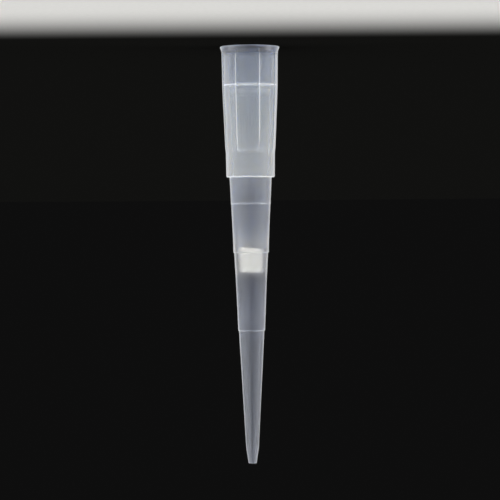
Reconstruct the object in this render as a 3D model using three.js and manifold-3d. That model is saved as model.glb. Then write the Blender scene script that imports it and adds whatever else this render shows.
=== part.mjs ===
// A filter pipette tip of the 200 microlitre size, in millimetres.
// The tip stands on its mouth: z = 0 is the rim, and +Z runs along the axis to the point.
// It is two pieces: a moulded polypropylene tip, and a porous plug wedged in its bore.

import * as THREE from "three";
import { mergeVertices } from "three/addons/utils/BufferGeometryUtils.js";
import Module from "manifold-3d";

// ---------------------------------------------------------------- overall
const TIP_LENGTH = 51.0;
const MOUTH_DIAMETER = 7.26;

// ---------------------------------------------------------------- heights of the sections
// They follow one another from the mouth, and the long cone takes the length that is left.
const LIP_HEIGHT = 0.6;
const SOCKET_HEIGHT = 4.42;
const RIBBED_HEIGHT = 7.7;
const BAND_HEIGHT = 3.28;
const NECK_HEIGHT = 3.25;
const FILTER_SECTION_HEIGHT = 4.6;
const COLLAR_HEIGHT = 1.35;
const KNEE_SECTION_HEIGHT = 4.0;
const LOWER_SECTION_HEIGHT = 5.55;
const POINT_HEIGHT = 1.9;

// ---------------------------------------------------------------- outside
// A section's diameter is given where it ends, and each step is a drop in radius.
const LIP_FLARE = 0.18;
const LIP_EDGE_HEIGHT = 0.12;
const SOCKET_END_DIAMETER = 6.78;
const RIBBED_END_DIAMETER = 6.14;
const BAND_STEP = 0.065;
const BAND_END_DIAMETER = 5.93;
const SHOULDER_ROUND = 0.15;
const NECK_TOP_DIAMETER = 5.14;
const NECK_END_DIAMETER = 4.85;
const NECK_STEP = 0.03;
const FILTER_SECTION_END_DIAMETER = 4.38;
const COLLAR_END_DIAMETER = 4.33;
const COLLAR_STEP = 0.1;
const KNEE_DIAMETER = 3.71;
const LOWER_SECTION_END_DIAMETER = 3.27;
const CONE_STEP = 0.09;
const CONE_END_DIAMETER = 1.54;
const POINT_DIAMETER = 0.98;
const STEP_SLOPE_HEIGHT = 0.08;

// ---------------------------------------------------------------- walls, from outside to bore
const RIM_WALL = 0.57;
const SOCKET_WALL = 0.52;
const RING_STEP_HEIGHT = 0.5;
const RING_WALL = 0.72;
const SHOULDER_WALL = 0.5;
const NECK_END_WALL = 0.535;
const FILTER_TOP_WALL = 0.695;
const FILTER_END_WALL = 0.575;
const CONE_TOP_WALL = 0.436;
const CONE_END_WALL = 0.44;
const ORIFICE_DIAMETER = 0.47;

// ---------------------------------------------------------------- ribs on the hub
const RIB_COUNT = 8;
const FIRST_RIB_ANGLE = 27.5; // degrees round from +X
const RIB_WIDTH = 0.27;
const RIB_PROUD = 0.09;
const RIB_ROOT = 0.1; // how far a rib reaches into the wall
const RIB_RUN_OUT_HEIGHT = 0.7;

// ---------------------------------------------------------------- filter plug
const PLUG_LENGTH = 3.3;
const PLUG_ABOVE_COLLAR_STEP = 0.78; // from the plug's upper face to the step under the collar
const PLUG_CLEARANCE = 0.02; // between the plug and the bore, all round
const PLUG_EDGE = 0.08; // chamfer on both ends

// ---------------------------------------------------------------- mesh
const TURN_SEGMENTS = 64;

const wasm = await Module();
wasm.setup();

const degrees = (angle) => (angle * Math.PI) / 180;
const point = (radius, height) => new THREE.Vector2(radius, height);

// Heights of the section ends, measured from the mouth.
const lipEnd = LIP_HEIGHT;
const socketEnd = lipEnd + SOCKET_HEIGHT;
const ribbedEnd = socketEnd + RIBBED_HEIGHT;
const shoulder = ribbedEnd + BAND_HEIGHT;
const neckEnd = shoulder + NECK_HEIGHT;
const collarStart = neckEnd + FILTER_SECTION_HEIGHT;
const collarEnd = collarStart + COLLAR_HEIGHT;
const knee = collarEnd + KNEE_SECTION_HEIGHT;
const coneStart = knee + LOWER_SECTION_HEIGHT;
const coneEnd = TIP_LENGTH - POINT_HEIGHT;
const plugTop = collarEnd - PLUG_ABOVE_COLLAR_STEP;
const plugEnd = plugTop + PLUG_LENGTH;

const mouthRadius = MOUTH_DIAMETER / 2;
const socketTopRadius = mouthRadius - LIP_FLARE;

// The outside, from the rim to the point, as (radius, height) points.
const outside = [
  point(mouthRadius, 0),
  point(mouthRadius, LIP_EDGE_HEIGHT),
  point(socketTopRadius, lipEnd),
  point(SOCKET_END_DIAMETER / 2, socketEnd),
  point(RIBBED_END_DIAMETER / 2, ribbedEnd),
  point(RIBBED_END_DIAMETER / 2 - BAND_STEP, ribbedEnd + STEP_SLOPE_HEIGHT),
  point(BAND_END_DIAMETER / 2, shoulder - SHOULDER_ROUND),
  point(BAND_END_DIAMETER / 2 - SHOULDER_ROUND, shoulder),
  point(NECK_TOP_DIAMETER / 2, shoulder),
  ...stepPoints(NECK_END_DIAMETER, neckEnd, NECK_STEP),
  point(FILTER_SECTION_END_DIAMETER / 2, collarStart),
  ...stepPoints(COLLAR_END_DIAMETER, collarEnd, COLLAR_STEP),
  point(KNEE_DIAMETER / 2, knee),
  ...stepPoints(LOWER_SECTION_END_DIAMETER, coneStart, CONE_STEP),
  point(CONE_END_DIAMETER / 2, coneEnd),
  point(POINT_DIAMETER / 2, TIP_LENGTH),
];

// The bore, from the orifice back up to the rim. Each wall is taken off the outside at its own height.
const bore = [
  point(ORIFICE_DIAMETER / 2, TIP_LENGTH),
  borePoint(coneEnd, CONE_END_WALL),
  borePoint(coneStart + STEP_SLOPE_HEIGHT, CONE_TOP_WALL),
  borePoint(plugEnd, FILTER_END_WALL),
  borePoint(plugTop, FILTER_TOP_WALL),
  borePoint(neckEnd, NECK_END_WALL),
  point(NECK_TOP_DIAMETER / 2 - SHOULDER_WALL, shoulder),
  borePoint(socketEnd + RING_STEP_HEIGHT / 2, RING_WALL),
  borePoint(socketEnd - RING_STEP_HEIGHT / 2, SOCKET_WALL),
  borePoint(lipEnd, SOCKET_WALL),
  point(mouthRadius - RIM_WALL, 0),
];

// A section that ends in a small drop in radius.
function stepPoints(diameter, height, drop) {
  return [
    point(diameter / 2, height),
    point(diameter / 2 - drop, height + STEP_SLOPE_HEIGHT),
  ];
}

// The radius of a profile at a height, on the straight line between its two nearest points.
function radiusAt(profile, height) {
  const next = profile.findIndex((p) => p.y >= height);
  const above = profile[Math.max(next - 1, 0)];
  const below = profile[next];
  const share = below.y > above.y ? (height - above.y) / (below.y - above.y) : 1;
  return above.x + share * (below.x - above.x);
}

function borePoint(height, wall) {
  return point(radiusAt(outside, height) - wall, height);
}

// Turns a closed profile round the Z axis.
function turned(profile) {
  const geometry = new THREE.LatheGeometry(profile, TURN_SEGMENTS);
  return geometry.rotateX(Math.PI / 2);
}

function solidFrom(geometry) {
  const bare = geometry.clone();
  bare.deleteAttribute("normal");
  bare.deleteAttribute("uv");
  const merged = mergeVertices(bare);
  return new wasm.Manifold(
    new wasm.Mesh({
      numProp: 3,
      vertProperties: new Float32Array(merged.attributes.position.array),
      triVerts: new Uint32Array(merged.index.array),
    }),
  );
}

function geometryFrom(solid) {
  const mesh = solid.getMesh();
  const geometry = new THREE.BufferGeometry();
  geometry.setAttribute("position", new THREE.BufferAttribute(mesh.vertProperties, mesh.numProp));
  geometry.setIndex(new THREE.BufferAttribute(mesh.triVerts, 1));
  geometry.computeVertexNormals();
  return geometry;
}

// One rib: its side view is drawn with x as the radius and y as the height, and given the rib's width.
// It starts inside the flared lip, stands RIB_PROUD off the hub and runs out just under the ribbed section.
function ribGeometry() {
  const runOutEnd = ribbedEnd + RIB_RUN_OUT_HEIGHT;
  const hub = [
    point(socketTopRadius, LIP_EDGE_HEIGHT),
    point(SOCKET_END_DIAMETER / 2, socketEnd),
    point(RIBBED_END_DIAMETER / 2, ribbedEnd),
  ];
  const crest = hub.map((p) => point(p.x + RIB_PROUD, p.y));
  const root = hub.map((p) => point(p.x - RIB_ROOT, p.y));
  const runOut = point(radiusAt(outside, runOutEnd) - RIB_ROOT, runOutEnd);
  const side = new THREE.Shape([...crest, runOut, ...root.reverse()]);
  const geometry = new THREE.ExtrudeGeometry(side, { depth: RIB_WIDTH, bevelEnabled: false });
  geometry.translate(0, 0, -RIB_WIDTH / 2);
  return geometry.rotateX(Math.PI / 2);
}

// ---------------------------------------------------------------- tip body
function tipBodyGeometry() {
  let body = solidFrom(turned([...outside, ...bore, outside[0]]));
  for (let i = 0; i < RIB_COUNT; i++) {
    const angle = degrees(FIRST_RIB_ANGLE + (360 / RIB_COUNT) * i);
    body = body.add(solidFrom(ribGeometry().rotateZ(angle)));
  }
  return geometryFrom(body);
}

// ---------------------------------------------------------------- filter plug
// The plug takes the taper of the bore it is wedged in, and is drawn from its own upper face.
function filterPlugGeometry() {
  const upward = [...bore].reverse();
  const plugRadius = (height) => radiusAt(upward, plugTop + height) - PLUG_CLEARANCE;
  return turned([
    point(0, 0),
    point(plugRadius(0) - PLUG_EDGE, 0),
    point(plugRadius(PLUG_EDGE), PLUG_EDGE),
    point(plugRadius(PLUG_LENGTH - PLUG_EDGE), PLUG_LENGTH - PLUG_EDGE),
    point(plugRadius(PLUG_LENGTH) - PLUG_EDGE, PLUG_LENGTH),
    point(0, PLUG_LENGTH),
  ]);
}

function piece(name, geometry, material) {
  const mesh = new THREE.Mesh(geometry, material);
  mesh.name = name;
  return mesh;
}

const polypropylene = new THREE.MeshStandardMaterial({
  color: 0xb9c1cc,
  roughness: 0.25,
  metalness: 0,
  transparent: true,
  opacity: 0.55,
});

const porousPolyethylene = new THREE.MeshStandardMaterial({
  color: 0xefefea,
  roughness: 0.95,
  metalness: 0,
});

const tipBody = piece("tip_body", tipBodyGeometry(), polypropylene);

const filterPlug = piece("filter_plug", filterPlugGeometry(), porousPolyethylene);
filterPlug.position.z = plugTop;

const pipetteTip = new THREE.Group();
pipetteTip.add(tipBody, filterPlug);

export default pipetteTip;
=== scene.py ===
import math

import bpy
import numpy as np
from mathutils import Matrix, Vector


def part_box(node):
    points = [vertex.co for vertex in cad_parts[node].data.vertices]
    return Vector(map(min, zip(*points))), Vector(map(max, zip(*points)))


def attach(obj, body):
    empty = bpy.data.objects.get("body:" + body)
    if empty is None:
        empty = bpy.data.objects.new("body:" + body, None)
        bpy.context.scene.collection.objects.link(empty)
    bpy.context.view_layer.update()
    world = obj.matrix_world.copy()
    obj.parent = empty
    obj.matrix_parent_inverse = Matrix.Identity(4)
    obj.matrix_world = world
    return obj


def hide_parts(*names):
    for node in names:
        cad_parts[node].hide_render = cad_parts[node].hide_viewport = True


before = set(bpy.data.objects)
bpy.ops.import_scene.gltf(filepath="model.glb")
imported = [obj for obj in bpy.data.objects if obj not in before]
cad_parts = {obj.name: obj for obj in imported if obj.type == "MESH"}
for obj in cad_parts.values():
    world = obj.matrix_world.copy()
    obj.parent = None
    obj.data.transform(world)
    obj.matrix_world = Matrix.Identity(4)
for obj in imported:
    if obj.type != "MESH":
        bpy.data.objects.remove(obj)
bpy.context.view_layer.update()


# ==================================================================================================
# Tip body. One injection moulding of natural, unfilled polypropylene: a flared lip, a hub with eight ribs
# and a square shoulder, and a stepped cone down to the orifice, with a bore right through. A core pin forms
# the bore, and the stepped cavity leaves a fine witness line at each change of insert. The bright lines
# drawn at these edges, along the ribs and on the far side are partly painted highlights.
# ==================================================================================================
MM = 0.001

body_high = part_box("tip_body")[1]
plug_low, plug_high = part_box("filter_plug")
tip_length = body_high[2] / MM
mouth_radius = body_high[0] / MM
plug_top = plug_low[2] / MM
plug_end = plug_high[2] / MM

# Heights above the mouth, in millimetres.
lip_edge = 0.12
lip_end = 0.6
socket_end = 5.02
ring_slope = 0.5
ring_start, ring_end = socket_end - ring_slope / 2, socket_end + ring_slope / 2
ribbed_end = 12.72
band_slope = 0.5
shoulder = 16.0
neck_end = 19.25
collar_start, collar_end = 23.85, 25.2
knee = 29.2
cone_start = 34.75
point_start = tip_length - 1.9
step_slope = 0.08

# Radii that more than one outline uses, in millimetres.
lip_flare, rim_wall = 0.18, 0.57
socket_top_radius = mouth_radius - lip_flare
socket_end_radius, ribbed_end_radius = 3.39, 3.07
bore_at_plug_top, bore_at_plug_end = 1.484, 1.359
hub_heights = [0.0, socket_end, ribbed_end]
hub_radii = [socket_top_radius, socket_end_radius, ribbed_end_radius]

# Each row is a corner: its radius, its height, how far its round reaches along both sides, and the
# spacing of the mesh rows on the side that follows it.
outside = np.array([
    (mouth_radius, 0.0, 0.08, 0.10),
    (mouth_radius, lip_edge, 0.08, 0.05),
    (socket_top_radius, lip_end, 0.10, 0.25),
    (socket_end_radius, socket_end, 0.40, 0.50),
    (ribbed_end_radius, ribbed_end - band_slope / 2, 0.12, 0.08),
    (3.005, ribbed_end + band_slope / 2, 0.15, 0.15),
    (2.965, shoulder, 0.20, 0.30),
    (2.57, shoulder, 0.05, 0.40),
    (2.425, neck_end, 0.03, 0.30),
    (2.395, neck_end + step_slope, 0.03, 0.60),
    (2.19, collar_start, 0.30, 0.40),
    (2.165, collar_end, 0.05, 0.30),
    (2.065, collar_end + step_slope, 0.04, 0.60),
    (1.855, knee, 0.60, 0.60),
    (1.635, cone_start, 0.05, 0.30),
    (1.545, cone_start + step_slope, 0.04, 0.80),
    (0.77, point_start, 0.40, 0.40),
    (0.49, tip_length, 0.04, 0.20),
])
bore = np.array([
    (0.235, tip_length, 0.03, 0.50),
    (0.33, point_start, 0.60, 0.90),
    (1.109, cone_start + step_slope, 0.90, 0.90),
    (bore_at_plug_end, plug_end, 0.70, 0.60),
    (bore_at_plug_top, plug_top, 0.50, 0.60),
    (1.89, neck_end, 0.80, 0.60),
    (2.07, shoulder, 0.80, 0.80),
    (2.66, ring_end, 0.08, 0.15),
    (2.873, ring_start, 0.08, 0.60),
    (2.93, lip_end, 0.20, 0.20),
    (mouth_radius - rim_wall, 0.0, 0.08, 0.20),
])


def rounded_outline(corners, round_points=7, lead=0.02):
    """The closed outline through the corners, with rounds, as rows of radius and height. A corner C
    with the reach r becomes the curve (1-t)^2 A + 2t(1-t) C + t^2 B, where A and B lie on the two
    sides that meet at C, r away from it and at most 0.45 of the side. Each straight side holds
    evenly spaced points, the first and last a small lead from its ends, so that shading stays flat
    along it. The points are put in order by a key: the corner's number plus the share of the way."""
    at, reach, spacing = corners[:, :2], corners[:, 2], corners[:, 3]
    side = np.roll(at, -1, axis=0) - at
    length = np.linalg.norm(side, axis=1)
    after = np.minimum(reach, 0.45 * length)[:, None]
    before = np.minimum(reach, 0.45 * np.roll(length, 1))[:, None]
    direction = side / length[:, None]
    leaving = at + direction * after
    arriving = at - np.roll(direction, 1, axis=0) * before
    t = np.linspace(0, 1, round_points)[None, :, None]
    rounds = (1 - t) ** 2 * arriving[:, None] + 2 * t * (1 - t) * at[:, None] + t**2 * leaving[:, None]
    round_keys = np.arange(len(at))[:, None] + 0.1 * t[..., 0]
    straight = np.roll(arriving, -1, axis=0) - leaving
    run = np.linalg.norm(straight, axis=1)
    count = np.where(run > 3 * lead, np.maximum(np.ceil(run / spacing), 1) + 1, 0).astype(int)
    owner = np.repeat(np.arange(len(at)), count)
    step = np.arange(count.sum()) - np.repeat(np.cumsum(count) - count, count)
    share = lead / run[owner] + (1 - 2 * lead / run[owner]) * step / (count[owner] - 1)
    points = np.concatenate([rounds.reshape(-1, 2), leaving[owner] + share[:, None] * straight[owner]])
    keys = np.concatenate([round_keys.ravel(), owner + 0.2 + 0.7 * share])
    return points[np.argsort(keys)]


def smooth_step(low, high, x):
    """0 below low, 1 above high, and 3u^2 - 2u^3 between them, where u is the share of the way."""
    u = np.clip((x - low) / (high - low), 0, 1)
    return u * u * (3 - 2 * u)


# Ribs on the hub, in millimetres. The first one's angle is measured from +X.
rib_count = 8
rib_pitch = 2 * math.pi / rib_count
first_rib = math.radians(27.5)
rib_width, rib_proud, rib_flank, rib_run_out = 0.27, 0.09, 0.07, 0.7


def turn_off_rib(angle):
    """The turn from the middle of the nearest rib: the angle past it, less half a pitch either way."""
    return (angle - first_rib + rib_pitch / 2) % rib_pitch - rib_pitch / 2


def ribbed_radius(radius, height, angle):
    """The plain outside, raised to a ridge at each rib. A ridge is the hub's own line plus rib_proud,
    where the arc to the nearest rib's middle is under half the rib's width. It falls smoothly to the
    outside across its flanks and along its run-out under the ribbed section."""
    arc = np.abs(turn_off_rib(angle)) * radius
    across = 1 - smooth_step(rib_width / 2 - rib_flank, rib_width / 2 + rib_flank, arc)
    down = 1 - smooth_step(ribbed_end - 2 * rib_run_out, ribbed_end + rib_run_out, height)
    rise = np.interp(height, hub_heights, hub_radii) + rib_proud - radius
    return radius + np.maximum(rise, 0) * across * down


def turned_mesh(name, radius, height, angle):
    """A mesh whose point in a row and column lies at (radius cos angle, radius sin angle, height).
    The columns close on themselves. So do the rows, unless the first and last have no radius: each
    of those two is then one point on the axis, joined to its neighbours by a fan of triangles."""
    rows, columns = radius.shape
    grid = np.stack([radius * np.cos(angle), radius * np.sin(angle), height], axis=-1) * MM
    index = np.arange(rows * columns).reshape(rows, columns)
    beside = np.roll(index, -1, axis=1)
    points, triangles = grid.reshape(-1, 3), np.empty((0, 3), int)
    if radius[0].max() == 0:
        index, beside = index[:-2], beside[:-2]
        points = np.concatenate([grid[1:-1].reshape(-1, 3), grid[[0, -1], 0]])
        first, last = len(points) - 2, len(points) - 1
        start = np.stack([np.full(columns, first), beside[0], index[0]], axis=-1)
        end = np.stack([np.full(columns, last), index[-1], beside[-1]], axis=-1)
        triangles = np.concatenate([start, end])
        quads = np.stack([index[:-1], beside[:-1], beside[1:], index[1:]], axis=-1)
    else:
        quads = np.stack([index, beside, np.roll(beside, -1, axis=0), np.roll(index, -1, axis=0)], axis=-1)
    mesh = bpy.data.meshes.new(name)
    mesh.from_pydata(points.tolist(), [], quads.reshape(-1, 4).tolist() + triangles.tolist())
    mesh.shade_smooth()
    piece = bpy.data.objects.new(name, mesh)
    bpy.context.collection.objects.link(piece)
    return piece


# Round the axis, fine columns cross each rib and coarse ones lie between the ribs.
rib_zone = math.radians(4.2)
columns_on_rib, columns_between = 14, 10
fine = np.linspace(-rib_zone, rib_zone, columns_on_rib, endpoint=False)
coarse = np.linspace(rib_zone, rib_pitch - rib_zone, columns_between, endpoint=False)
angle = (first_rib + rib_pitch * np.arange(rib_count)[:, None] + np.concatenate([fine, coarse])).ravel()

# A row of the mesh is on the outside where its radius is more than the bore's by this much.
clear_of_bore = 0.1
outline = rounded_outline(np.concatenate([outside, bore]))
bore_line = np.interp(outline[:, 1], bore[::-1, 1], bore[::-1, 0])
on_outside = (outline[:, 0] > bore_line + clear_of_bore)[:, None]
radius, height, angle = np.broadcast_arrays(outline[:, :1], outline[:, 1:], angle)
radius = np.where(on_outside & (height > lip_edge), ribbed_radius(radius, height, angle), radius)
body = turned_mesh("tip_moulding", radius, height, angle)

# Clouding is the share of light that the skin of the plastic scatters, and a cloudier skin looks brighter.
# Its rise and fall along the tip is partly painted light and shade: cloudiest on the hub near the mouth, as
# if lit through the mouth, and clear just past the plug, as painted shade under it. The bore has a share of
# the outside's. Here and below, a pair of lists gives values at heights, joined by straight lines.
cloud_and_painted_light_heights = [0.0, 0.6, 1.4, 15.95, 16.05, 19.2, 22.0, 24.3, 25.1, 27.6, 28.4, 33.0, tip_length]
cloud_and_painted_light_shares = [0.0, 0.0, 0.14, 0.15, 0.05, 0.03, 0.03, 0.1, 0.04, 0.04, 0.0, 0.045, 0.045]
bore_cloud_share = 0.5

# Bright lines at edges that the mould leaves sharp: the rim, the core pin's ring, the foot of the hub and
# the parting lines between the cavity's inserts. They are partly the cloudier skin of a sharp moulded edge
# and partly painted highlights for the light that such edges catch. Two lie a little short of a rounded
# corner.
witness_highlight_width, short_of_corner = 0.05, 0.05
foot_line, collar_line = shoulder - short_of_corner, collar_end - short_of_corner
witness_highlight_heights = [0.02, ring_start, foot_line, neck_end, collar_line, cone_start, tip_length]
witness_highlight_shares = [0.5, 0.5, 0.16, 0.2, 0.05, 0.2, 0.25]
# The core pin's ring also has a strong bright line on the bore, a painted highlight.
ring_highlight_line, ring_highlight_width, ring_highlight_share = ring_start + 0.04, 0.13, 0.95

# Painted highlights: through the near wall, the lip, the ring and the ribs of the far side show as softer
# bright lines. They are drawn only on the far half of the bore, away from the camera, which is faded in over
# these values of the sine of the angle.
far_fade_start, far_fade_end = -0.2, 0.4
far_highlight_heights, far_highlight_width, far_highlight_share, far_rib_highlight_share = [0.55, ring_end], 0.15, 0.8, 0.2


def lines(value, middles, shares, width):
    """The largest of the shares, each falling off from its own middle as a bell: the share times
    exp(-(d / width)^2), where d is the distance from the middle."""
    away = (value[..., None] - np.array(middles)) / width
    return (np.array(shares) * np.exp(-(away**2))).max(axis=-1)


def put_values(piece, name, values):
    """Stores one number for each point of the mesh, for the material to read by this name."""
    attribute = piece.data.attributes.new(name, "FLOAT", "POINT")
    attribute.data.foreach_set("value", np.ascontiguousarray(values, dtype=np.float32).ravel())


# Painted highlight: a rib shows as one bright line along its flank that faces a side light, faded out at
# both its ends.
rib_highlight_width, rib_highlight_share, rib_highlight_offset = 0.07, 0.3, 0.17
rib_highlight_lead, rib_highlight_fade = 1.0, 2.0
off_flank = turn_off_rib(angle) * radius + rib_highlight_offset * np.sign(np.sin(2 * angle))
rib_start = smooth_step(lip_end, lip_end + rib_highlight_lead, height)
rib_end = smooth_step(ribbed_end - rib_highlight_fade, ribbed_end, height)
rib_highlight = rib_start * (1 - rib_end) * np.exp(-((off_flank / rib_highlight_width) ** 2))

cloud_and_painted_light = np.interp(height, cloud_and_painted_light_heights, cloud_and_painted_light_shares)
skin = cloud_and_painted_light + rib_highlight_share * rib_highlight + lines(height, witness_highlight_heights, witness_highlight_shares, witness_highlight_width)
far_half = smooth_step(far_fade_start, far_fade_end, np.sin(angle))
far_highlights = lines(height, far_highlight_heights, [far_highlight_share, far_highlight_share], far_highlight_width) + far_rib_highlight_share * rib_highlight
core = bore_cloud_share * cloud_and_painted_light + lines(height, [ring_highlight_line], [ring_highlight_share], ring_highlight_width)
core = core + far_half * far_highlights
# This attribute holds the clouding together with the painted highlights at the edges, the ribs, the ring and
# the far side.
put_values(body, "clouding", np.where(on_outside, skin, core))

# The outside scatters more where it is seen at a slant. This part of the clouding grows with the
# square and the fourth power of the slant, by these two factors, and the bore has none.
slant_heights = [0.0, 9.0, 15.9, 16.1, 23.0, 30.0, tip_length]
slant_square = [0.46, 0.5, 0.45, 0.46, 0.46, 0.36, 0.2]
slant_fourth = [1.3, 1.35, 1.1, 0.9, 0.9, 1.25, 1.3]
put_values(body, "slant_square", np.where(on_outside, np.interp(height, slant_heights, slant_square), 0))
put_values(body, "slant_fourth", np.where(on_outside, np.interp(height, slant_heights, slant_fourth), 0))

# Roughness. The mould is polished for the hub, finely blasted for the lip and for the sections past
# the shoulder, and more coarsely for the point and for the part of the core pin that forms the cone.
finish_heights = [0.0, 0.7, 1.2, 15.9, 16.1, 28.0, 33.0, 48.6, 49.4, tip_length]
finish_outside = [0.31, 0.31, 0.2, 0.2, 0.3, 0.3, 0.3, 0.3, 0.5, 0.5]
finish_bore = [0.31, 0.31, 0.2, 0.2, 0.3, 0.3, 0.55, 0.55, 0.55, 0.55]
finish_values = [np.interp(height, finish_heights, values) for values in (finish_outside, finish_bore)]
put_values(body, "finish", np.where(on_outside, *finish_values))


def linear(hex_colour):
    """An sRGB hex colour, such as #ECE9E2, as linear red, green, blue and an alpha of 1."""
    srgb = np.array([int(hex_colour[i:i + 2], 16) for i in (1, 3, 5)]) / 255
    value = np.where(srgb <= 0.04045, srgb / 12.92, ((srgb + 0.055) / 1.055) ** 2.4)
    return (*value.tolist(), 1.0)


def add(tree, kind, settings=None, links=None):
    """Adds a node of this kind, sets its properties or inputs, and links its inputs from sockets. The
    setting "stops" fills a colour ramp with pairs of a position and a colour, in rising order."""
    node = tree.nodes.new(kind)
    for key, value in (settings or {}).items():
        if key == "stops":
            elements = node.color_ramp.elements
            elements[0].position, elements[1].position = value[0][0], value[-1][0]
            for position, _ in value[1:-1]:
                elements.new(position)
            for element, (_, colour) in zip(elements, value):
                element.color = colour
        elif isinstance(key, str) and hasattr(node, key):
            setattr(node, key, value)
        else:
            node.inputs[key].default_value = value
    for key, socket in (links or {}).items():
        tree.links.new(socket, node.inputs[key])
    return node


def grey(level):
    """A linear grey of this level, with an alpha of 1."""
    return (level, level, level, 1.0)


def blank_material(name):
    """A material with this name and an empty node tree."""
    material = bpy.data.materials.new(name)
    material.use_nodes = True
    material.node_tree.nodes.clear()
    return material, material.node_tree


# Natural polypropylene, satin moulded: milky and faintly blue against the dark, and whiter at edges.
polypropylene, tree = blank_material("natural_polypropylene_moulded")
place = add(tree, "ShaderNodeTexCoord").outputs["Object"]
rise = add(tree, "ShaderNodeSeparateXYZ", {}, {0: place}).outputs["Z"]
rise = add(tree, "ShaderNodeMapRange", {"From Max": tip_length * MM}, {"Value": rise}).outputs[0]

# Flow marks: faint streaks of cloudier plastic, 0.4 mm wide and about 8 mm long, drawn up the walls.
streak_width, streak_length, streak_unevenness = 0.4, 8.0, 0.4
streak_scale = (1 / (streak_width * MM), 1 / (streak_width * MM), 1 / (streak_length * MM))
streaks = add(tree, "ShaderNodeMapping", {"vector_type": "POINT", "Scale": streak_scale}, {0: place})
streaks = add(tree, "ShaderNodeTexNoise", {"Scale": 1.0, "Detail": 2.0}, {0: streaks.outputs[0]})
streaks = add(
    tree,
    "ShaderNodeMapRange",
    {"To Min": 1 - streak_unevenness, "To Max": 1 + streak_unevenness},
    {0: streaks.outputs[0]},
)

# Clouding grows by this share at a full slant, on top of its two slant factors.
cloud_growth = 1.4
slant = add(tree, "ShaderNodeLayerWeight", {"Blend": 0.5}).outputs["Facing"]
# The clouding attribute also carries the painted highlights.
clouding = add(tree, "ShaderNodeAttribute", {"attribute_name": "clouding"}).outputs["Fac"]
square = add(tree, "ShaderNodeAttribute", {"attribute_name": "slant_square"}).outputs["Fac"]
fourth = add(tree, "ShaderNodeAttribute", {"attribute_name": "slant_fourth"}).outputs["Fac"]
growth = add(tree, "ShaderNodeMath", {"operation": "MULTIPLY_ADD", 1: cloud_growth, 2: 1.0}, {0: slant})
grown = add(tree, "ShaderNodeMath", {"operation": "MULTIPLY"}, {0: growth.outputs[0], 1: clouding})
marked = add(
    tree,
    "ShaderNodeMath",
    {"operation": "MULTIPLY"},
    {0: grown.outputs[0], 1: streaks.outputs[0]},
)
squared = add(tree, "ShaderNodeMath", {"operation": "MULTIPLY"}, {0: slant, 1: slant}).outputs[0]
steep = add(tree, "ShaderNodeMath", {"operation": "MULTIPLY_ADD"}, {0: squared, 1: fourth, 2: square})
edge = add(
    tree,
    "ShaderNodeMath",
    {"operation": "MULTIPLY_ADD"},
    {0: steep.outputs[0], 1: squared, 2: marked.outputs[0]},
)
clear = add(
    tree,
    "ShaderNodeMath",
    {"operation": "SUBTRACT", "use_clamp": True, 0: 1.0},
    {1: edge.outputs[0]},
)

# The tint that a wall gives to the light through it, at heights up the tip: the plastic's faint blue, darker
# and bluer at the lip, and darker from just past the plug to the point, which is painted shade for the
# weaker light there. Towards the edges, where the wall is seen at a slant, it is whiter.
tint_and_shade_heights = [0.5, 0.8, 4.0, 9.0, 14.0, 15.8, 16.1, 23.0, 24.6, 27.6, 28.6, 33.0, 36.0, tip_length]
hub_tints = ["#B6C2E0", "#E4EBF9", "#E5ECF8", "#EAEFF6", "#EEF1F5", "#F2F4F5"]
cone_tints_and_shade = ["#E9EDF6", "#E9EDF6", "#F4F5F6", "#F4F5F6", "#CAD2E7", "#CAD1E3", "#AEB6C9", "#A4ACBE"]
edge_tint = "#F3F4F6"
tints_and_shade = hub_tints + cone_tints_and_shade
stops = [(at / tip_length, linear(colour)) for at, colour in zip(tint_and_shade_heights, tints_and_shade)]
tint_and_shade = add(tree, "ShaderNodeValToRGB", {"stops": stops}, {0: rise})
tone = add(
    tree,
    "ShaderNodeMix",
    {"data_type": "RGBA", 7: linear(edge_tint)},
    {0: slant, 6: tint_and_shade.outputs[0]},
)

# The finish is uneven by a twentieth from place to place, from wear of the mould, in 1.5 mm patches.
patch_size, patch_unevenness = 1.5, 0.05
finish = add(tree, "ShaderNodeAttribute", {"attribute_name": "finish"}).outputs["Fac"]
patches = add(tree, "ShaderNodeTexNoise", {"Scale": 1 / (patch_size * MM), "Detail": 3.0}, {0: place})
patches = add(
    tree,
    "ShaderNodeMapRange",
    {"To Min": 1 - patch_unevenness, "To Max": 1 + patch_unevenness},
    {0: patches.outputs[0]},
)
finish = add(tree, "ShaderNodeMath", {"operation": "MULTIPLY"}, {0: finish, 1: patches.outputs[0]})
surface = add(
    tree,
    "ShaderNodeBsdfPrincipled",
    {"IOR": 1.49},
    {"Base Color": tone.outputs[2], "Transmission Weight": clear.outputs[0], "Roughness": finish.outputs[0]},
)

# Inside, fine crystals scatter blue light more than red. Their density is per metre, and its rise and fall
# along the tip is partly painted light and shade: densest on the hub near the mouth, and nil just past the
# plug, as painted shade under it. A colour ramp holds it, divided by haze_scale, because a ramp ends at 1.
haze_and_painted_light_heights = [0.0, 0.6, 1.2, 4.7, 12.0, 15.5, 16.1, 24.2, 24.7, 27.6, 28.6, 33.0, 36.0, tip_length]
haze_and_painted_light_densities = [150, 400, 880, 850, 800, 750, 345, 340, 150, 70, 0, 50, 20, 10]
haze_scale, haze_colour, haze_forward = 1000, "#B1CBFF", 0.3
stops = [(at / tip_length, grey(haze / haze_scale)) for at, haze in zip(haze_and_painted_light_heights, haze_and_painted_light_densities)]
density = add(tree, "ShaderNodeValToRGB", {"stops": stops}, {0: rise})
density = add(tree, "ShaderNodeMath", {"operation": "MULTIPLY", 1: haze_scale}, {0: density.outputs[0]})
haze = add(
    tree,
    "ShaderNodeVolumeScatter",
    {"Color": linear(haze_colour), "Anisotropy": haze_forward},
    {"Density": density.outputs[0]},
)
add(tree, "ShaderNodeOutputMaterial", {}, {"Surface": surface.outputs[0], "Volume": haze.outputs[0]})
body.data.materials.append(polypropylene)
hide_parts("tip_body")
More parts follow.
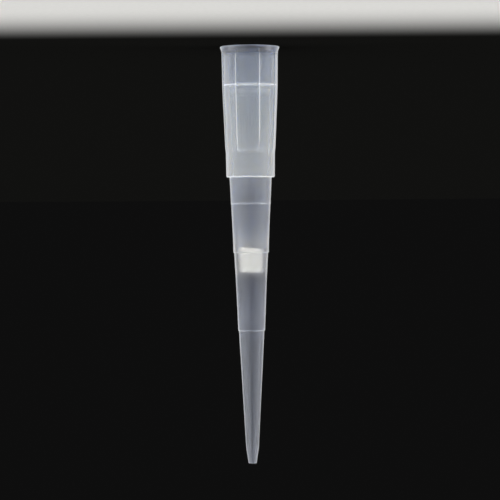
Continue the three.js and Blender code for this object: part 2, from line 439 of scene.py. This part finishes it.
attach(body, "root")


# ==================================================================================================
# Filter plug. A porous cylinder of sintered polyethylene grains, cut a little askew and pushed down
# the bore until it wedges. White, fully matt and slightly rough at its cut ends.
# ==================================================================================================
# The last side runs back along the axis and is cut away below, so its rows are spaced widely.
plug_clearance = 0.02
plug_corners = np.array([
    (0.0, plug_top, 0.0, 0.08),
    (bore_at_plug_top - plug_clearance, plug_top, 0.07, 0.07),
    (bore_at_plug_end - plug_clearance, plug_end, 0.07, 0.08),
    (0.0, plug_end, 0.0, 9.0),
])
plug_columns = 160
askew_top, askew_end = 0.19, 0.08
grain_size, grain_depth = 0.12, 0.014
tear_size, tear_depth = 0.5, 0.05
end_share, middle_radius = 0.03, 0.05


def lattice_noise(points, size, seed):
    """Smooth noise from -1 to 1: a hashed number at each corner of a grid of cells of this size,
    blended inside a cell by 3u^2 - 2u^3 along each axis."""
    scaled = points / size
    cell = np.floor(scaled).astype(np.int64)
    u = scaled - cell
    u = u * u * (3 - 2 * u)
    corners = np.stack(np.meshgrid([0, 1], [0, 1], [0, 1], indexing="ij"), axis=-1).reshape(8, 3)
    key = (cell[..., None, :] + corners) * np.array([73856093, 19349663, 83492791]) + seed
    mixed = key[..., 0] ^ key[..., 1] ^ key[..., 2]
    mixed = (mixed ^ (mixed >> 13)) * 1274126177
    value = ((mixed ^ (mixed >> 16)) & 0xFFFF) / 32767.5 - 1
    weight = np.where(corners == 1, u[..., None, :], 1 - u[..., None, :]).prod(axis=-1)
    return (value * weight).sum(axis=-1)


# The outline less what lies on the axis, with one point of it at each end, turned round the axis.
plug_outline = rounded_outline(plug_corners)
on_axis = plug_outline[:, 0] < 0.001
plug_outline = np.concatenate([[(0.0, plug_top)], plug_outline[~on_axis], [(0.0, plug_end)]])
plug_angle = np.linspace(0, 2 * math.pi, plug_columns, endpoint=False)
radius, height, plug_angle = np.broadcast_arrays(plug_outline[:, :1], plug_outline[:, 1:], plug_angle)
place = np.stack([radius * np.cos(plug_angle), radius * np.sin(plug_angle), height], axis=-1)

# Each end is cut to a slope along X, which shears the length between them. The grains dent the whole
# skin, and the ends are torn deeper. The first and last end_share of the length count as end faces,
# and what is nearer the axis than middle_radius keeps its radius.
across = radius * np.cos(plug_angle) / radius.max()
share = (height - plug_top) / (plug_end - plug_top)
cut = (1 - share) * askew_top * (1 - across) - share * askew_end * (1 + across)
grain = 0.6 * lattice_noise(place, grain_size, 11) + 0.4 * lattice_noise(place, grain_size / 2, 29)
dent = grain_depth * (1 + grain)
torn = tear_depth * (1 + lattice_noise(place, tear_size, 5)) / 2
end_face = np.clip(1 - np.minimum(share, 1 - share) / end_share, 0, 1) * np.where(share < 0.5, 1, -1)
radius = np.where(radius > middle_radius, radius - dent, radius)
height = height + cut + end_face * (dent + torn)
plug = turned_mesh("plug_sinter", radius, height, plug_angle)

# Porous sintered polyethylene: chalk white grains with greyer pores between them, and fully matt. The grains
# are drawn 0.12 mm across, about the real size. The part inside the collar, the plug's end towards the
# mouth, is drawn whiter as painted light.
painted_light_end, painted_light_fade_end = (collar_end - 0.1) * MM, (collar_end + 0.5) * MM
painted_light_white, plug_white, pore_grey = "#FFFEFA", "#F0EFEA", "#D2D1CB"
pore_start, pore_end, pore_share, pore_depth = 0.45, 0.75, 0.2, 0.03
porous, tree = blank_material("polyethylene_sintered_porous")
place = add(tree, "ShaderNodeTexCoord").outputs["Object"]
rise = add(tree, "ShaderNodeSeparateXYZ", {}, {0: place}).outputs["Z"]
past_painted_light = add(
    tree,
    "ShaderNodeMapRange",
    {"interpolation_type": "SMOOTHSTEP", "From Min": painted_light_end, "From Max": painted_light_fade_end},
    {"Value": rise},
)
tone = add(
    tree,
    "ShaderNodeMix",
    {"data_type": "RGBA", 6: linear(painted_light_white), 7: linear(plug_white)},
    {0: past_painted_light.outputs[0]},
)
grains = add(tree, "ShaderNodeTexVoronoi", {"Scale": 1 / (grain_size * MM)}, {0: place})
pores = add(
    tree,
    "ShaderNodeMapRange",
    {"From Min": pore_start, "From Max": pore_end, "To Max": pore_share},
    {0: grains.outputs["Distance"]},
)
tone = add(
    tree,
    "ShaderNodeMix",
    {"data_type": "RGBA", 7: linear(pore_grey)},
    {0: pores.outputs[0], 6: tone.outputs[2]},
)
bump = add(
    tree,
    "ShaderNodeBump",
    {"invert": True, "Strength": 0.5, "Distance": pore_depth * MM},
    {"Height": grains.outputs["Distance"]},
)
surface = add(
    tree,
    "ShaderNodeBsdfPrincipled",
    {"Roughness": 0.9, "IOR": 1.5},
    {"Base Color": tone.outputs[2], "Normal": bump.outputs[0]},
)
add(tree, "ShaderNodeOutputMaterial", {}, {"Surface": surface.outputs[0]})
plug.data.materials.append(porous)
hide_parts("filter_plug")
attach(plug, "root")


# ==================================================================================================
# Floor. A wide, plain sheet of matt paper. It is pale in front of the tip and graduated to near black
# under and behind it, because a clouded clear plastic shows its own light only against the dark.
# ==================================================================================================
floor_radius, floor_sides = 900.0, 96
floor_turn = np.linspace(0, 2 * math.pi, floor_sides, endpoint=False)
floor_rim = np.stack([np.cos(floor_turn), np.sin(floor_turn), np.zeros(floor_sides)], axis=-1)
floor_rim = floor_rim * floor_radius * MM
floor_mesh = bpy.data.meshes.new("floor")
floor_mesh.from_pydata(floor_rim.tolist(), [], [list(range(len(floor_rim)))])
floor = bpy.data.objects.new("floor", floor_mesh)
bpy.context.collection.objects.link(floor)

# Matt paper: the grey runs smoothly from pale to near black, between two distances in millimetres
# along Y, and a fine felt of fibres, 0.6 mm apart, makes it faintly uneven.
pale_end, dark_start = -50, -12
pale_paper, dark_paper = "#CFCECB", "#10100F"
fibre_size, fibre_unevenness = 0.6, 0.06
paper, tree = blank_material("graduated_matt_paper")
place = add(tree, "ShaderNodeTexCoord").outputs["Object"]
distance = add(tree, "ShaderNodeSeparateXYZ", {}, {0: place}).outputs["Y"]
fade = add(
    tree,
    "ShaderNodeMapRange",
    {"interpolation_type": "SMOOTHSTEP", "From Min": pale_end * MM, "From Max": dark_start * MM},
    {"Value": distance},
)
tone = add(
    tree,
    "ShaderNodeMix",
    {"data_type": "RGBA", 6: linear(pale_paper), 7: linear(dark_paper)},
    {0: fade.outputs[0]},
)
fibres = add(tree, "ShaderNodeTexNoise", {"Scale": 1 / (fibre_size * MM), "Detail": 4.0}, {0: place})
unevenness = add(
    tree,
    "ShaderNodeMapRange",
    {"To Min": 1 - fibre_unevenness, "To Max": 1 + fibre_unevenness},
    {0: fibres.outputs[0]},
)
tone = add(
    tree,
    "ShaderNodeVectorMath",
    {"operation": "SCALE"},
    {0: tone.outputs[2], "Scale": unevenness.outputs[0]},
)
surface = add(
    tree,
    "ShaderNodeBsdfPrincipled",
    {"Roughness": 0.95, "Specular IOR Level": 0.0},
    {"Base Color": tone.outputs[0]},
)
add(tree, "ShaderNodeOutputMaterial", {}, {"Surface": surface.outputs[0]})
floor_mesh.materials.append(paper)


# ==================================================================================================
# Light. A soft tent with no edge that could show as a streak in the turned surfaces: dark behind the
# tip, brightest at both sides and dimmer in front. A much brighter band runs round it above eye level,
# and a faint fill high up behind lights the back of the tip.
# ==================================================================================================
# Levels round the tip, at azimuths in degrees from straight behind it: at eye level, and the band's own,
# which band_gain raises. Colour ramps hold them, divided by tent_scale.
tent_azimuths = [-180, -150, -120, -98, -86, -74, 74, 86, 98, 120, 150, 180]
tent_levels = [0.28, 0.42, 0.42, 0.85, 1.9, 0.0, 0.0, 1.85, 0.9, 0.5, 0.5, 0.28]
band_levels = [0.3, 0.6, 0.7, 0.8, 0.75, 0.0, 0.0, 0.6, 0.7, 0.84, 0.76, 0.3]
tent_scale = 2.0

# The band lies between two elevations in degrees, and its edges are soft. The fill is above fill_low.
# In front only the share fill_in_front of it is left, and it grows to the whole by fill_turn along Y.
# The faint behind_level is all round, and at eye level it is all there is straight behind.
band_gain, band_low, band_high, band_soft = 9.6, 13.0, 27.0, 6.0
fill_level, fill_low, fill_soft = 0.9, 42.0, 10.0
fill_in_front, fill_turn = 0.03, 0.3
behind_level = 0.0045

studio = bpy.data.worlds.new("studio")
bpy.context.scene.world = studio
studio.use_nodes = True
tree = studio.node_tree
tree.nodes.clear()

direction = add(tree, "ShaderNodeTexCoord").outputs["Generated"]
direction = add(tree, "ShaderNodeSeparateXYZ", {}, {0: direction}).outputs
azimuth = add(tree, "ShaderNodeMath", {"operation": "ARCTAN2"}, {0: direction["X"], 1: direction["Y"]})
around = add(
    tree,
    "ShaderNodeMapRange",
    {"From Min": -math.pi, "From Max": math.pi},
    {"Value": azimuth.outputs[0]},
)
turns = [(degrees + 180) / 360 for degrees in tent_azimuths]
stops = [(turn, grey(level / tent_scale)) for turn, level in zip(turns, tent_levels)]
tent = add(tree, "ShaderNodeValToRGB", {"stops": stops}, {0: around.outputs[0]})
stops = [(turn, grey(level / tent_scale)) for turn, level in zip(turns, band_levels)]
band_tent = add(tree, "ShaderNodeValToRGB", {"stops": stops}, {0: around.outputs[0]})
tent.color_ramp.interpolation = "EASE"
band_tent.color_ramp.interpolation = "EASE"

elevation = add(tree, "ShaderNodeMath", {"operation": "ARCSINE"}, {0: direction["Z"]}).outputs[0]
rising = {"From Min": math.radians(band_low - band_soft), "From Max": math.radians(band_low + band_soft)}
falling = {"From Min": math.radians(band_high + band_soft), "From Max": math.radians(band_high - band_soft)}
rising["interpolation_type"] = falling["interpolation_type"] = "SMOOTHSTEP"
rising = add(tree, "ShaderNodeMapRange", rising, {"Value": elevation})
falling = add(tree, "ShaderNodeMapRange", falling, {"Value": elevation})
band = add(tree, "ShaderNodeMath", {"operation": "MULTIPLY"}, {0: rising.outputs[0], 1: falling.outputs[0]})
band = add(tree, "ShaderNodeMath", {"operation": "MULTIPLY", 1: band_gain}, {0: band.outputs[0]})
level = add(
    tree,
    "ShaderNodeMath",
    {"operation": "MULTIPLY_ADD"},
    {0: band.outputs[0], 1: band_tent.outputs[0], 2: tent.outputs[0]},
)
above = {"From Min": math.radians(fill_low - fill_soft), "From Max": math.radians(fill_low + fill_soft)}
above["interpolation_type"] = "SMOOTHSTEP"
above = add(tree, "ShaderNodeMapRange", above, {"Value": elevation})
beyond = {"From Max": fill_turn, "To Min": fill_in_front, "interpolation_type": "SMOOTHSTEP"}
beyond = add(tree, "ShaderNodeMapRange", beyond, {"Value": direction["Y"]})
fill = add(tree, "ShaderNodeMath", {"operation": "MULTIPLY"}, {0: above.outputs[0], 1: beyond.outputs[0]})
fill = add(
    tree,
    "ShaderNodeMath",
    {"operation": "MULTIPLY_ADD", 1: fill_level, 2: behind_level},
    {0: fill.outputs[0]},
)
level = add(
    tree,
    "ShaderNodeMath",
    {"operation": "MULTIPLY_ADD", 1: tent_scale},
    {0: level.outputs[0], 2: fill.outputs[0]},
)
glow = add(tree, "ShaderNodeBackground", {"Color": linear("#FFFFFF")}, {"Strength": level.outputs[0]})
add(tree, "ShaderNodeOutputWorld", {}, {"Surface": glow.outputs[0]})


# ==================================================================================================
# Camera. A long lens, level with the middle of the tip, in front of it and turned over, so that the
# tip hangs point down in the picture with a slight lean.
# ==================================================================================================
camera_distance = 318.0
camera_turn = 180.42

camera_data = bpy.data.cameras.new("camera")
camera_data.sensor_width = 36
camera_data.lens = 186.9
camera_data.clip_start, camera_data.clip_end = 0.01, 10
camera_data.shift_x, camera_data.shift_y = -0.0023, 0.00985
camera = bpy.data.objects.new("camera", camera_data)
bpy.context.collection.objects.link(camera)
camera.location = (0, -camera_distance * MM, tip_length / 2 * MM)
camera.rotation_euler = (math.radians(90), math.radians(camera_turn), 0)

# Light crosses many skins of clear plastic, so paths through it are let run long.
scene = bpy.context.scene
scene.camera = camera
scene.view_settings.view_transform = "Standard"
scene.cycles.max_bounces = 24
scene.cycles.transmission_bounces = 20
scene.cycles.glossy_bounces = 8
scene.cycles.diffuse_bounces = 6
scene.cycles.volume_bounces = 6
